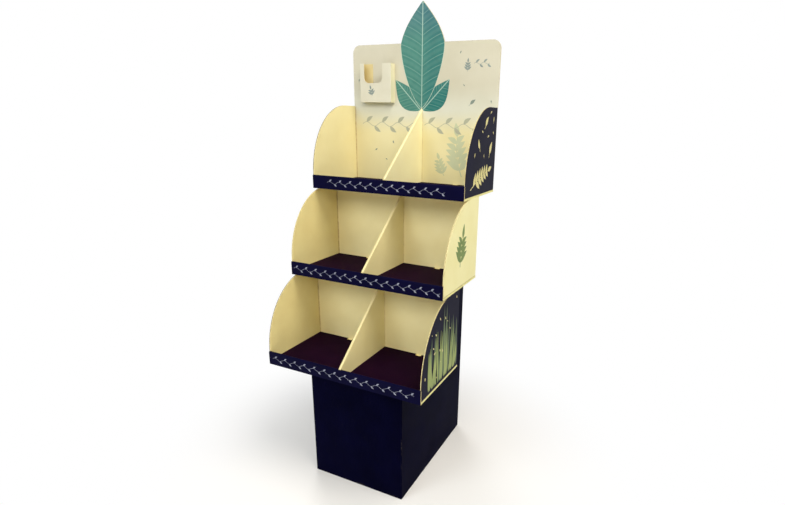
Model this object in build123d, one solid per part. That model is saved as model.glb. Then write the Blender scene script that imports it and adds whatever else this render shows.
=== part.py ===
from build123d import *
import os

# Free-standing cardboard display stand, in millimetres
# Front faces -Y, up is +Z, origin at the middle of the footprint on the ground

# Sheet thicknesses and folding
BOARD = 4.0  # single-wall corrugated sheet
HEAVY_BOARD = 7.0  # double-wall sheet under each tray
CARD = 2.0  # thin carton of the leaflet pocket
FOLD = 3.0  # outer radius of a crease
SLIT = 0.4  # gap left inside a sheet folded back on itself
FIT = 0.3  # clearance where one sheet slides past another
FLANGE = 40.0  # width of a glue flange
FLANGE_TAPER = 10.0  # how far a flange draws in at its ends
ROUNDED_FOLD = 3.4  # edge of a sheet folded double
CARD_FOLD = 1.5  # outer radius of a crease in thin carton

# Trays, all alike
TIERS = 3
TRAY_WIDTH = 600.0
TRAY_DEPTH = 290.0
TRAY_HEIGHT = 294.0
SETBACK = 147.0  # each tray stands this far behind the one below
LIP_HEIGHT = 48.0
SIDE_FLAT_TOP = 73.0  # level part of a side panel's top edge
TAB_LENGTH = 46.0  # divider tabs
FLOOR_TAB_INSET = 80.0  # middle of a floor tab from the tray's front or back
BACK_TAB_INSET = 90.0  # middle of a back tab from the tray's foot or top
DIVIDER_NOSE = 5.0  # height of the divider's nose on the lip
DIVIDER_DROP = 7.0  # back of the divider below the tray's top
FINGER_NOTCH_WIDTH = 22.0  # in the floor's back edge, to lift it out
FINGER_NOTCH_DEPTH = 12.0
FINGER_NOTCH_CORNER = 2.0

# Column under the trays
COLUMN_WIDTH = 376.0
PLINTH_HEIGHT = 469.0
OVERHANG = 84.0  # lowest lip in front of the column
SPINE_DEPTH = 27.0  # hollow spine behind the header card
FLOOR_FLAP = 60.0
MITRE_GAP = 3.0  # between two floor flaps at their inner ends

# Header card over the top tray, with its die-cut topper
HEADER_RISE = 220.0
HEADER_CORNER = 30.0
TOPPER_RISE = 136.0
TOPPER_WIDTH = 190.0
TOPPER_ROOT = 61.0  # outline carried on below the header's top edge
TIP_SPREAD = 40.0  # handle of the outline at the tip, sideways
TIP_DROP = 46.0  # the same handle, downwards
FLANK_BULGE = 4.0  # handle at the root, sideways
FLANK_RISE = 95.0  # the same handle, upwards

# Leaflet pocket on the header card
POCKET_WIDTH = 136.0
POCKET_HEIGHT = 138.0
POCKET_DEPTH = 29.0
POCKET_INSET = 48.0  # from the header's left edge
POCKET_RISE = 14.0  # above the side panels
POCKET_FLANGE = 39.0
NOTCH_MARGIN = 19.0  # front strip left of the thumb notch
NOTCH_WIDTH = 79.0
NOTCH_DEPTH = 69.0
NOTCH_CORNER = 19.0

# Positions that follow from the driving dimensions
COLUMN_DEPTH = TRAY_DEPTH + (TIERS - 1) * SETBACK + SPINE_DEPTH - OVERHANG
FRONT = -(COLUMN_DEPTH + OVERHANG) / 2
COLUMN_FRONT = FRONT + OVERHANG
COLUMN_BACK = COLUMN_FRONT + COLUMN_DEPTH
TRAY_Y = [FRONT + tier * SETBACK for tier in range(TIERS)]
TRAY_Z = [PLINTH_HEIGHT + tier * TRAY_HEIGHT for tier in range(TIERS)]
RISER_Y = [y + TRAY_DEPTH for y in TRAY_Y]
SPINE_TOP = TRAY_Z[-1] + TRAY_HEIGHT
INSIDE = TRAY_WIDTH / 2 - BOARD  # half width between the side panels
BACK_FACE = TRAY_DEPTH - BOARD  # front face of a tray's back wall
FLOOR_UNDER = HEAVY_BOARD + BOARD
FLOOR_TOP = FLOOR_UNDER + BOARD
DOUBLE = 2 * BOARD + SLIT  # thickness of a sheet folded double
HEADER_TOP = TRAY_HEIGHT + HEADER_RISE
FLOOR_TABS = [FLOOR_TAB_INSET, TRAY_DEPTH - FLOOR_TAB_INSET]  # middles, along Y
BACK_TABS = [BACK_TAB_INSET, TRAY_HEIGHT - BACK_TAB_INSET]  # middles, along Z
BAY_MIDDLE = (DOUBLE / 2 + INSIDE) / 2  # middle of the bay right of the divider


def area(*points):
    """Flat outline through the given points."""
    return make_face(Polyline(*points, close=True))


def span(low_u, high_u, low_v, high_v):
    """Flat rectangle between two pairs of limits."""
    middle = Pos((low_u + high_u) / 2, (low_v + high_v) / 2)
    return middle * Rectangle(high_u - low_u, high_v - low_v)


def across(outline, low_x, high_x):
    """Sheet standing in the YZ plane, drawn as (y, z)."""
    return extrude(Plane.YZ.offset(low_x) * outline, high_x - low_x)


def upright(outline, low_y, high_y):
    """Sheet standing in the XZ plane, drawn as (x, z)."""
    return extrude(Plane.XZ.offset(-high_y) * outline, high_y - low_y)


def level(outline, low_z, high_z):
    """Sheet lying flat, drawn as (x, y)."""
    return extrude(Plane.XY.offset(low_z) * outline, high_z - low_z)


def near(vertices, *spots):
    """The vertices of a flat outline that lie on the given spots."""
    chosen = []
    for u, v in spots:
        chosen.append(vertices.sort_by_distance(Vector(u, v, 0))[0])
    return chosen


def column_sleeve():
    """Four walls folded from one sheet, stepped sides, floor flaps turned in."""
    middle = Pos(0, (COLUMN_FRONT + COLUMN_BACK) / 2)
    outside = Rectangle(COLUMN_WIDTH, COLUMN_DEPTH)
    outside = middle * fillet(outside.vertices(), FOLD)
    inside = middle * Rectangle(COLUMN_WIDTH - 2 * BOARD, COLUMN_DEPTH - 2 * BOARD)
    hole = middle * Rectangle(COLUMN_WIDTH - 2 * FLOOR_FLAP, COLUMN_DEPTH - 2 * FLOOR_FLAP)
    walls = level(outside - inside, 0, SPINE_TOP)
    # Air over the treads, as a staircase
    steps = [(COLUMN_FRONT - BOARD, PLINTH_HEIGHT)]
    for tier in range(TIERS):
        steps.append((RISER_Y[tier], TRAY_Z[tier]))
        steps.append((RISER_Y[tier], TRAY_Z[tier] + TRAY_HEIGHT))
    steps.append((RISER_Y[-1], SPINE_TOP + BOARD))
    steps.append((COLUMN_FRONT - BOARD, SPINE_TOP + BOARD))
    walls -= across(area(*steps), -COLUMN_WIDTH, COLUMN_WIDTH)
    # Floor flaps, parted by slits on the mitre lines
    flaps = level(outside - hole, 0, BOARD)
    for side in (-1, 1):
        for end in (COLUMN_FRONT, COLUMN_BACK):
            inward = 1 if end == COLUMN_FRONT else -1
            corner_x = side * (COLUMN_WIDTH / 2 - BOARD)
            corner_y = end + inward * BOARD
            slit = area(
                (corner_x, corner_y),
                (corner_x - side * FLOOR_FLAP, corner_y + inward * (FLOOR_FLAP - MITRE_GAP)),
                (corner_x - side * (FLOOR_FLAP - MITRE_GAP), corner_y + inward * FLOOR_FLAP),
            )
            flaps -= level(slit, -BOARD, 2 * BOARD)
    sleeve = walls + flaps
    ring = sleeve.faces().sort_by(Axis.Z)[0].outer_wire().edges()
    sleeve = fillet(ring, FOLD)
    # Glue flap of the sleeve's seam, inside the back wall
    seam_x = -COLUMN_WIDTH / 2 + BOARD
    seam = span(seam_x, seam_x + FLANGE, BOARD + FIT, SPINE_TOP - 2 * FLANGE)
    return sleeve + upright(seam, COLUMN_BACK - 2 * BOARD, COLUMN_BACK - BOARD)


def column_steps():
    """Zigzag sheet: treads, risers and the spine's cap, with glue flanges turned down."""
    start = COLUMN_FRONT + BOARD
    end = COLUMN_BACK - BOARD
    face = [(start, PLINTH_HEIGHT - FLANGE), (start, PLINTH_HEIGHT)]
    under = [(start + BOARD, PLINTH_HEIGHT - FLANGE), (start + BOARD, PLINTH_HEIGHT - BOARD)]
    outer_folds = [(start, PLINTH_HEIGHT)]
    for tier in range(TIERS):
        foot = TRAY_Z[tier]
        head = foot + TRAY_HEIGHT
        riser = RISER_Y[tier]
        face += [(riser, foot), (riser, head)]
        under += [(riser + BOARD, foot - BOARD), (riser + BOARD, head - BOARD)]
        outer_folds += [(riser + BOARD, foot - BOARD), (riser, head)]
    face += [(end, SPINE_TOP), (end, SPINE_TOP - FLANGE)]
    under += [(end - BOARD, SPINE_TOP - BOARD), (end - BOARD, SPINE_TOP - FLANGE)]
    outer_folds.append((end, SPINE_TOP))
    section = area(*face, *reversed(under))
    section = fillet(near(section.vertices(), *outer_folds), FOLD)
    half = COLUMN_WIDTH / 2 - BOARD - FIT
    sheet = across(section, -half, half)
    # Side flanges under each tread, glued to the sleeve's walls
    fronts = [start + 2 * BOARD] + RISER_Y[:-1]
    for tier in range(TIERS):
        low = fronts[tier] + 2 * BOARD
        high = RISER_Y[tier] - BOARD
        top = TRAY_Z[tier]
        foot = top - FLANGE
        tongue = area((low, top), (low + FLANGE_TAPER, foot), (high - FLANGE_TAPER, foot), (high, top))
        sheet += across(tongue, -half, -half + BOARD)
        sheet += across(tongue, half - BOARD, half)
    return sheet


BRACE_Y = (COLUMN_FRONT + RISER_Y[0]) / 2
LAP = (PLINTH_HEIGHT - BOARD) / 2


def column_rib():
    """Stepped upright board on the centre line, slotted for the brace."""
    front = COLUMN_FRONT + 2 * BOARD + FIT
    back = COLUMN_BACK - BOARD - FIT
    outline = [(front, BOARD), (front, PLINTH_HEIGHT - BOARD)]
    for tier in range(TIERS - 1):
        riser = RISER_Y[tier] + BOARD + FIT
        outline += [(riser, TRAY_Z[tier] - BOARD), (riser, TRAY_Z[tier + 1] - BOARD)]
    outline += [(back, TRAY_Z[-1] - BOARD), (back, BOARD)]
    half = BOARD / 2 + FIT
    slot = span(BRACE_Y - half, BRACE_Y + half, 0, LAP)
    return across(area(*outline) - slot, -BOARD / 2, BOARD / 2)


def column_brace():
    """Cross board half-lapped over the rib."""
    side = COLUMN_WIDTH / 2 - 2 * BOARD - 2 * FIT
    half = BOARD / 2 + FIT
    outline = span(-side, side, BOARD, PLINTH_HEIGHT - BOARD)
    slot = span(-half, half, LAP, PLINTH_HEIGHT)
    return upright(outline - slot, BRACE_Y - BOARD / 2, BRACE_Y + BOARD / 2)


def tray_base():
    """Flat heavy board under a tray, its cut edges in view."""
    outline = span(-TRAY_WIDTH / 2, TRAY_WIDTH / 2, BOARD, TRAY_DEPTH)
    return level(outline, 0, HEAVY_BOARD)


def topper():
    """Upper half of a pointed leaf, standing over the header's top edge."""
    tip = HEADER_TOP + TOPPER_RISE
    half = TOPPER_WIDTH / 2
    root = HEADER_TOP - TOPPER_ROOT
    right = Bezier(
        (0, tip),
        (TIP_SPREAD, tip - TIP_DROP),
        (half + FLANK_BULGE, root + FLANK_RISE),
        (half, root),
    )
    left = mirror(right, Plane.YZ)
    leaf = make_face([right, left, Line((half, root), (-half, root))])
    return fillet(near(leaf.vertices(), (0, tip)), FOLD)


def tray_shell(with_header):
    """Left side, back and right side of a tray, folded from one sheet."""
    sheet = span(-TRAY_WIDTH / 2, TRAY_WIDTH / 2, BOARD, TRAY_DEPTH)
    corners = near(sheet.vertices(), (-TRAY_WIDTH / 2, TRAY_DEPTH), (TRAY_WIDTH / 2, TRAY_DEPTH))
    sheet = fillet(corners, FOLD) - span(-INSIDE, INSIDE, 0, BACK_FACE)
    shell = level(sheet, HEAVY_BOARD, TRAY_HEIGHT)
    # Curved front edge of both sides, a quarter of an ellipse
    rim_y = TRAY_DEPTH - SIDE_FLAT_TOP
    rise = TRAY_HEIGHT - LIP_HEIGHT
    curve = EllipticalCenterArc((rim_y, LIP_HEIGHT), rim_y - BOARD, rise, 180, arc_size=-90)
    beyond = Polyline(
        (rim_y, TRAY_HEIGHT),
        (rim_y, TRAY_HEIGHT + BOARD),
        (-BOARD, TRAY_HEIGHT + BOARD),
        (-BOARD, LIP_HEIGHT),
        (BOARD, LIP_HEIGHT),
    )
    shell -= across(make_face([curve, beyond]), -TRAY_WIDTH, TRAY_WIDTH)
    # Glue flanges turned in on the base board, mitred at the back corners
    gap = BOARD / 2
    flanges = level(
        area(
            (-INSIDE + gap, BACK_FACE),
            (INSIDE - gap, BACK_FACE),
            (INSIDE - gap - FLANGE, BACK_FACE - FLANGE),
            (-INSIDE + gap + FLANGE, BACK_FACE - FLANGE),
        ),
        HEAVY_BOARD,
        FLOOR_UNDER,
    )
    for side in (-1, 1):
        tongue = area(
            (side * INSIDE, BOARD),
            (side * INSIDE, BACK_FACE),
            (side * (INSIDE - FLANGE), BACK_FACE - FLANGE),
            (side * (INSIDE - FLANGE), BOARD + FLANGE_TAPER),
        )
        flanges += level(tongue, HEAVY_BOARD, FLOOR_UNDER)
    shell += flanges
    creases = []
    for edge in shell.edges():
        spot = edge.center()
        outer = abs(spot.X) > TRAY_WIDTH / 2 - FOLD / 2 or spot.Y > TRAY_DEPTH - FOLD / 2
        if abs(spot.Z - HEAVY_BOARD) < 0.01 and outer and edge.length > BOARD + FOLD:
            creases.append(edge)
    shell = fillet(creases, FOLD)
    if with_header:
        card = span(-TRAY_WIDTH / 2, TRAY_WIDTH / 2, TRAY_HEIGHT, HEADER_TOP)
        ends = near(card.vertices(), (-TRAY_WIDTH / 2, HEADER_TOP), (TRAY_WIDTH / 2, HEADER_TOP))
        card = fillet(ends, HEADER_CORNER) + topper()
        shell += upright(card, BACK_FACE, TRAY_DEPTH)
    # Slots for the divider's back tabs
    for middle in BACK_TABS:
        high = TAB_LENGTH / 2 + FIT
        wide = DOUBLE / 2 + FIT
        slot = span(-wide, wide, middle - high, middle + high)
        shell -= upright(slot, BACK_FACE - BOARD, TRAY_DEPTH + BOARD)
    return shell


def tray_shelf():
    """Floor and front lip folded from one sheet, the lip rolled over and back down."""
    roll = BOARD + SLIT / 2
    knee = LIP_HEIGHT - roll
    bend = Pos(roll, knee) * (Circle(roll) - Circle(SLIT / 2)) & span(0, 2 * roll, knee, LIP_HEIGHT)
    front = span(0, BOARD, 0, knee)
    inner = span(BOARD + SLIT, DOUBLE, FLOOR_UNDER, knee)
    floor = span(BOARD + SLIT, BACK_FACE - FIT, FLOOR_UNDER, FLOOR_TOP)
    section = front + bend + inner + floor
    section = fillet(near(section.vertices(), (BOARD + SLIT, FLOOR_UNDER)), FOLD)
    outer_skin = section & span(0, BOARD, 0, LIP_HEIGHT)
    width = INSIDE - FIT
    shelf = across(section, -width, width)
    shelf += across(outer_skin, -TRAY_WIDTH / 2, -width)
    shelf += across(outer_skin, width, TRAY_WIDTH / 2)
    # Slots for the divider's floor tabs
    for middle in FLOOR_TABS:
        long = TAB_LENGTH / 2 + FIT
        wide = DOUBLE / 2 + FIT
        slot = span(-wide, wide, middle - long, middle + long)
        shelf -= level(slot, 0, LIP_HEIGHT)
    # Finger notches in the back edge, one in the middle of each bay
    edge = BACK_FACE - FIT
    notch = span(-FINGER_NOTCH_WIDTH / 2, FINGER_NOTCH_WIDTH / 2, edge - FINGER_NOTCH_DEPTH, TRAY_DEPTH)
    corners = notch.vertices().sort_by(Axis.Y)[:2]
    notch = fillet(corners, FINGER_NOTCH_CORNER)
    for middle in (-BAY_MIDDLE, BAY_MIDDLE):
        shelf -= level(Pos(middle, 0) * notch, 0, LIP_HEIGHT)
    return shelf


def tray_divider():
    """Board folded double along its slanted front edge, tabbed into floor and back."""
    inner_lip = DOUBLE + FIT
    nose = BOARD / 2
    nose_top = LIP_HEIGHT + DIVIDER_NOSE
    back = BACK_FACE - FIT
    peak = TRAY_HEIGHT - DIVIDER_DROP
    outline = area(
        (inner_lip, FLOOR_TOP),
        (inner_lip, LIP_HEIGHT + FIT),
        (nose, LIP_HEIGHT + FIT),
        (nose, nose_top),
        (back, peak),
        (back, FLOOR_TOP),
    )
    board = across(outline, -DOUBLE / 2, DOUBLE / 2)
    slope = (peak - nose_top) / (back - nose)
    folded = []
    for edge in board.edges():
        rise = edge.tangent_at(0.5)
        if abs(abs(rise.Z) - slope * abs(rise.Y)) < 0.001 and abs(rise.Y) > 0.1:
            folded.append(edge)
    board = fillet(folded, ROUNDED_FOLD)
    # Tabs through the floor and into the back wall
    for middle in FLOOR_TABS:
        low = middle - TAB_LENGTH / 2
        tab = span(low, low + TAB_LENGTH, HEAVY_BOARD + FIT, FLOOR_TOP)
        board += across(tab, -DOUBLE / 2, DOUBLE / 2)
    for middle in BACK_TABS:
        low = middle - TAB_LENGTH / 2
        tab = span(back, TRAY_DEPTH - FIT, low, low + TAB_LENGTH)
        board += across(tab, -DOUBLE / 2, DOUBLE / 2)
    # Slit between the two layers, ending at the fold
    drop = BOARD * (1 + slope * slope) ** 0.5
    reach = TRAY_DEPTH + BOARD
    slit = area(
        (-BOARD, nose_top - drop - slope * (nose + BOARD)),
        (reach, nose_top - drop + slope * (reach - nose)),
        (reach, 0),
        (-BOARD, 0),
    )
    return board - across(slit, -SLIT / 2, SLIT / 2)


def leaflet_pocket():
    """Thin carton glued to the header card, open at the top, with a thumb notch."""
    left = POCKET_INSET - TRAY_WIDTH / 2
    right = left + POCKET_WIDTH
    front = BACK_FACE - POCKET_DEPTH
    low = TRAY_HEIGHT + POCKET_RISE
    top = low + POCKET_HEIGHT
    outside = span(left, right, front, BACK_FACE)
    outside = fillet(near(outside.vertices(), (left, front), (right, front)), CARD_FOLD)
    hollow = span(left + CARD, right - CARD, front + CARD, BACK_FACE - CARD)
    carton = level(outside, low, top) - level(hollow, low + CARD, top + CARD)
    # Open back between the glue flanges
    edge = CARD + POCKET_FLANGE
    window = span(left + edge, right - edge, low + edge, top + CARD)
    carton -= upright(window, BACK_FACE - 2 * CARD, BACK_FACE + CARD)
    # Thumb notch in the front
    notch_foot = top - NOTCH_DEPTH
    notch_left = left + NOTCH_MARGIN
    notch_right = notch_left + NOTCH_WIDTH
    notch = span(notch_left, notch_right, notch_foot, top + CARD)
    lower = near(notch.vertices(), (notch_left, notch_foot), (notch_right, notch_foot))
    notch = fillet(lower, NOTCH_CORNER)
    return carton - upright(notch, front - CARD, front + 2 * CARD)


parts = {
    "column_sleeve": column_sleeve(),
    "column_steps": column_steps(),
    "column_rib": column_rib(),
    "column_brace": column_brace(),
}
for tier in range(TIERS):
    place = Pos(0, TRAY_Y[tier], TRAY_Z[tier])
    name = f"tray_{tier + 1}_"
    parts[name + "base"] = place * tray_base()
    parts[name + "shell"] = place * tray_shell(tier == TIERS - 1)
    parts[name + "shelf"] = place * tray_shelf()
    parts[name + "divider"] = place * tray_divider()
parts["leaflet_pocket"] = Pos(0, TRAY_Y[-1], TRAY_Z[-1]) * leaflet_pocket()

os.makedirs("parts", exist_ok=True)
for name, part in parts.items():
    export_step(part, f"parts/{name}.step")
    print(name, round(part.volume), part.bounding_box().size)
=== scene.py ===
# %% [markdown]
# # A folded cardboard display stand
# The stand is a stepped column of printed corrugated board that carries three open trays, with a header
# card on top. Its boards come ready folded from the CAD frame, so this lesson dresses them: board
# finishes, cut edges, printed motifs, light and a camera. The frame is loaded first, because every
# place below is read from it. All lengths are metres, and the front of the stand faces -Y.

import math
import random

import bmesh
import bpy
from mathutils import Color, Matrix, Vector


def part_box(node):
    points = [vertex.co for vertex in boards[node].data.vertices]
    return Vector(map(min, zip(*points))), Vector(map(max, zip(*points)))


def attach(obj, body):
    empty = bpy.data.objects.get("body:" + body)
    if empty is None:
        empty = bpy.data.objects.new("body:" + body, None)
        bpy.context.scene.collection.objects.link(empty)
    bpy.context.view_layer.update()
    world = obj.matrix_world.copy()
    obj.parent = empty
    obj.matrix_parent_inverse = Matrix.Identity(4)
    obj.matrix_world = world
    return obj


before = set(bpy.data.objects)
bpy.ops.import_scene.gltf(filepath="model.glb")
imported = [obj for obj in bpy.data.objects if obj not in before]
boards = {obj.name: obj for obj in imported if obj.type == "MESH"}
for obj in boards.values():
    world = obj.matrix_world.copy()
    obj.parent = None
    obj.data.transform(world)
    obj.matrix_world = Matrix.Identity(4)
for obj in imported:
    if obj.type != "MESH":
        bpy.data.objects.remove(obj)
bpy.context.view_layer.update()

# %% [markdown]
# ## Where the panels lie
# Print has to sit on real faces, so the planes of the panels are read once from the boards' own boxes.
# One small record for each tray holds its lip, its sides and its back. Typing these numbers by hand
# would work too, but they would go stale as soon as a board changed size.

# %% Read the planes of each tray
BOARD = 0.004


class Tray:
    """Planes of one tray, read from its boards."""

    def __init__(self, number):
        self.name = f"tray_{number}"
        low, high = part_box(f"{self.name}_shell")
        base_low, base_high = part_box(f"{self.name}_base")
        shelf_low, shelf_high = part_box(f"{self.name}_shelf")
        self.side = high.x
        self.front = shelf_low.y
        self.back = high.y
        self.back_face = high.y - BOARD
        self.foot = base_low.z
        self.seat = base_high.z
        self.floor = base_high.z + 2 * BOARD
        self.lip_top = shelf_high.z


trays = [Tray(number) for number in (1, 2, 3)]
low_tray, middle_tray, top_tray = trays
TRAY_HEIGHT = middle_tray.foot - low_tray.foot
SIDE_TOP = top_tray.foot + TRAY_HEIGHT
column_low, column_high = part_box("column_sleeve")
pocket_low, pocket_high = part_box("leaflet_pocket")
print("tray height", round(TRAY_HEIGHT, 3), "lips at", [round(tray.front, 4) for tray in trays])

# %% [markdown]
# ## The camera
# The photograph was taken from the front right, a little above the trays and tilted down, and it was
# cropped off centre. The view was fitted to the corners of the trays, and is kept here as an eye point
# and three angles, which are easier to read than a matrix. The crop becomes a small shift of the lens,
# so that the upright edges lean as they do in the picture.

# %% Set the camera
IMAGE_WIDTH, IMAGE_HEIGHT = 785, 505
SENSOR_WIDTH = 36
FOCAL_PIXELS = 499.2
LENS_CENTRE = (433.9, 284.7)
EYE = Vector((0.8927, -1.5116, 1.3061))
YAW, PITCH, ROLL = (math.radians(angle) for angle in (24.785, 18.289, 1.311))

ahead = Vector((-math.sin(YAW) * math.cos(PITCH), math.cos(YAW) * math.cos(PITCH), -math.sin(PITCH)))
level_right = Vector((math.cos(YAW), math.sin(YAW), 0))
level_up = level_right.cross(ahead)
right = math.cos(ROLL) * level_right + math.sin(ROLL) * level_up
up = math.cos(ROLL) * level_up - math.sin(ROLL) * level_right

lens = bpy.data.cameras.new("camera")
lens.sensor_width = SENSOR_WIDTH
lens.lens = FOCAL_PIXELS / IMAGE_WIDTH * SENSOR_WIDTH
lens.shift_x = (IMAGE_WIDTH / 2 - LENS_CENTRE[0]) / IMAGE_WIDTH
lens.shift_y = (LENS_CENTRE[1] - IMAGE_HEIGHT / 2) / IMAGE_WIDTH
camera = bpy.data.objects.new("camera", lens)
camera.matrix_world = Matrix.Translation(EYE) @ Matrix((right, up, -ahead)).transposed().to_4x4()
bpy.context.scene.collection.objects.link(camera)
bpy.context.scene.camera = camera
print("lens", round(lens.lens, 2), "shift", round(lens.shift_x, 4), round(lens.shift_y, 4))

# %% [markdown]
# ## Shader sums as Python
# A board finish is mostly arithmetic on places and noises. Wiring Math nodes one by one hides the idea,
# so a socket is wrapped in a small class whose operators add the Math nodes. Every other node comes from
# one method, which sets the node's own settings first and then its sockets.

# %% Wrap a socket
class Wire:
    """A shader socket: sums with it add Math nodes."""

    def __init__(self, nodes, socket):
        self.nodes = nodes
        self.socket = socket

    def __add__(self, other):
        return self.nodes.math("ADD", self, other)

    def __radd__(self, other):
        return self.nodes.math("ADD", other, self)

    def __sub__(self, other):
        return self.nodes.math("SUBTRACT", self, other)

    def __rsub__(self, other):
        return self.nodes.math("SUBTRACT", other, self)

    def __mul__(self, other):
        return self.nodes.math("MULTIPLY", self, other)

    def __rmul__(self, other):
        return self.nodes.math("MULTIPLY", other, self)

    def __abs__(self):
        return self.nodes.math("ABSOLUTE", self)

    def __gt__(self, other):
        return self.nodes.math("GREATER_THAN", self, other)

    def __lt__(self, other):
        return self.nodes.math("LESS_THAN", self, other)

    def wave(self, pitch):
        """A sine that repeats after each pitch."""
        return self.nodes.math("SINE", self * (2 * math.pi / pitch))

    def ramp(self, start, end):
        """0 at start, 1 at end and smooth between."""
        settings = {"interpolation_type": "SMOOTHSTEP"}
        return self.nodes.add("ShaderNodeMapRange", settings, {0: self, 1: start, 2: end})


print("a wire also has", [name for name in vars(Wire) if not name.startswith("_")])


# %% Wrap a node tree
class Nodes:
    """A node tree that is filled by expressions."""

    def __init__(self, tree):
        self.tree = tree

    def add(self, kind, settings=None, sockets=None, out=0):
        """Any node: its settings first, then its sockets as values or wires."""
        node = self.tree.nodes.new(kind)
        for key, value in (settings or {}).items():
            setattr(node, key, value)
        for key, value in (sockets or {}).items():
            self.join(value, node.inputs[key])
        return Wire(self, node.outputs[out])

    def join(self, value, socket):
        """Links a wire to a socket, or sets the socket to a number or colour."""
        if isinstance(value, Wire):
            self.tree.links.new(value.socket, socket)
        else:
            socket.default_value = value

    def math(self, operation, *values):
        """A Math node on wires and numbers."""
        return self.add("ShaderNodeMath", {"operation": operation}, dict(enumerate(values)))

    def mix(self, share, first, second):
        """A colour between two colours."""
        settings = {"data_type": "RGBA", "clamp_factor": True}
        return self.add("ShaderNodeMix", settings, {0: share, 6: first, 7: second}, out=2)

    def seen(self):
        """1 where the eye looks, straight, in a mirror or through glass, and 0 where light bounces."""
        kinds = ("Is Camera Ray", "Is Glossy Ray", "Is Transmission Ray")
        straight, mirrored, through = [self.add("ShaderNodeLightPath", out=kind) for kind in kinds]
        return self.math("MAXIMUM", straight, self.math("MAXIMUM", mirrored, through))


print("a node tree has", [name for name in vars(Nodes) if not name.startswith("_")])

# %% [markdown]
# A finish is such a node tree with one surface shader in it. It measures places in the stand's own space:
# all boards sit at the origin, so x, y and z in a finish are metres on the stand. Colours are written as
# they look on a screen, in six hex digits, and turned into the linear light that shaders work with.


# %% Wrap a material
class Finish(Nodes):
    """A material under construction, measured in the stand's own space."""

    def __init__(self, name):
        self.material = bpy.data.materials.new(name)
        self.material.use_nodes = True
        super().__init__(self.material.node_tree)
        self.shader = self.tree.nodes["Principled BSDF"]
        self.place = self.add("ShaderNodeTexCoord", out="Object")
        split = self.add("ShaderNodeSeparateXYZ", sockets={0: self.place}).socket.node
        self.x, self.y, self.z = [Wire(self, socket) for socket in split.outputs]

    def noise(self, grains, detail=2.0):
        """Cloudy noise about 0, with that many grains to the metre."""
        sockets = {"Vector": self.place, "Scale": grains, "Detail": detail}
        return self.add("ShaderNodeTexNoise", sockets=sockets) - 0.5

    def set(self, socket, value):
        """Feeds a socket of the surface shader."""
        self.join(value, self.shader.inputs[socket])

    def bump(self, height, depth):
        """A surface raised by height times depth, in metres."""
        self.set("Normal", self.add("ShaderNodeBump", sockets={"Height": height, "Distance": depth}))


def paint(code):
    """A colour in six hex digits, turned into the linear colour that shaders take."""
    shares = [int(code[at:at + 2], 16) / 255 for at in (0, 2, 4)]
    return (*Color(shares).from_srgb_to_scene_linear(), 1.0)


print("half grey is", round(paint("808080")[0], 3), "of white in linear light")

# %% [markdown]
# ## Printed liner
# The outside of corrugated board is a paper liner, printed and varnished. Close up it isn't flat: the
# flutes behind it show through as a faint washboard, the paper has a fine grain, and the ink lies
# unevenly. These are one sine and a few noises, so they need no pictures and follow the board wherever
# it is folded. The flutes stand upright in the walls, and there either x or y is constant, so their sum
# runs along every wall. Noises are given by their grains to the metre, and roughness and gloss are as the
# shader takes them, from 0 to 1.

# %% Make a printed liner
FLUTE = 0.0075
WASHBOARD = 0.00012
FLUTE_RISE, GRAIN_RISE = 0.5, 0.7
PAPER_GRAINS, SHEEN_CLOUDS = 1100, 9
GRAIN_SHEEN, CLOUD_SHEEN = 0.16, 0.12
INK_CLOUDS, INK_SPECKS = 12, 600
CLOUD_DEPTH, SPECK_DEPTH = 1.8, 0.5
SATIN, VARNISH = 0.52, 0.35


def board_skin(finish, colour, roughness, gloss, run):
    """What every liner shares: washboard, paper grain and an uneven sheen."""
    grain = finish.noise(PAPER_GRAINS)
    clouds = finish.noise(SHEEN_CLOUDS, detail=3.0)
    finish.set("Base Color", colour)
    finish.set("Roughness", roughness + grain * GRAIN_SHEEN + clouds * CLOUD_SHEEN)
    finish.set("Specular IOR Level", gloss)
    finish.bump(run.wave(FLUTE) * FLUTE_RISE + grain * GRAIN_RISE + clouds, WASHBOARD)
    return finish.material


def uneven_ink(finish, ink, deep_ink):
    """An ink that is deeper where it lies thick."""
    clouds = finish.noise(INK_CLOUDS, detail=3.0)
    thick = 0.5 + clouds * CLOUD_DEPTH + finish.noise(INK_SPECKS) * SPECK_DEPTH
    return finish.mix(thick, paint(ink), paint(deep_ink))


def printed(name, ink, deep_ink, roughness=SATIN, gloss=VARNISH, lying=False):
    """A liner in one ink, its flutes upright, or from front to back if it lies flat."""
    finish = Finish(name)
    run = finish.x if lying else finish.x + finish.y
    return board_skin(finish, uneven_ink(finish, ink, deep_ink), roughness, gloss, run)


print("flutes", round(1 / FLUTE), "to the metre, washboard", WASHBOARD, "deep")

# %% [markdown]
# The stand needs creams for card, dark inks for what frames the goods, and plain papers where nothing is
# printed. Each is two close tones of one ink, and the dark ones are less glossy, or they would grey out
# under the lamps.

# %% Mix the liners
CREAM, DEEP_CREAM = "f8ecb6", "f1e3a8"
cream_card = printed("cream_card", CREAM, DEEP_CREAM)
# The top divider's paler card is painted light.
top_divider_painted_light_card = printed("top_divider_painted_light_card", "fff8c8", "faf0bc")
# The fold's darker ink is partly wear and partly painted shade.
worn_and_shaded_fold = printed("worn_and_shaded_fold", "f0e3ae", "e0d097", roughness=0.6, gloss=0.25)
pale_side = printed("pale_side", "faf4ba", "f4ecaa")
pocket_card = printed("pocket_card", "dad6c1", "d0cbb3")
pocket_side = printed("pocket_side", "ebe6c3", "e3dcb6")
navy_side = printed("navy_side", "14132a", "0c0b1d", roughness=0.5, gloss=0.04)
navy_lip = printed("navy_lip", "06052c", "03021e", roughness=0.5, gloss=0.04)
dark_floor = printed("dark_floor", "1e081e", "160517", roughness=0.55, gloss=0.01, lying=True)
raw_liner = printed("raw_liner", "cfbf94", "bfad80", roughness=0.8, gloss=0.2)
tan_card = printed("tan_card", "dfd09c", "d2c087", roughness=0.7, gloss=0.25)
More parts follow.
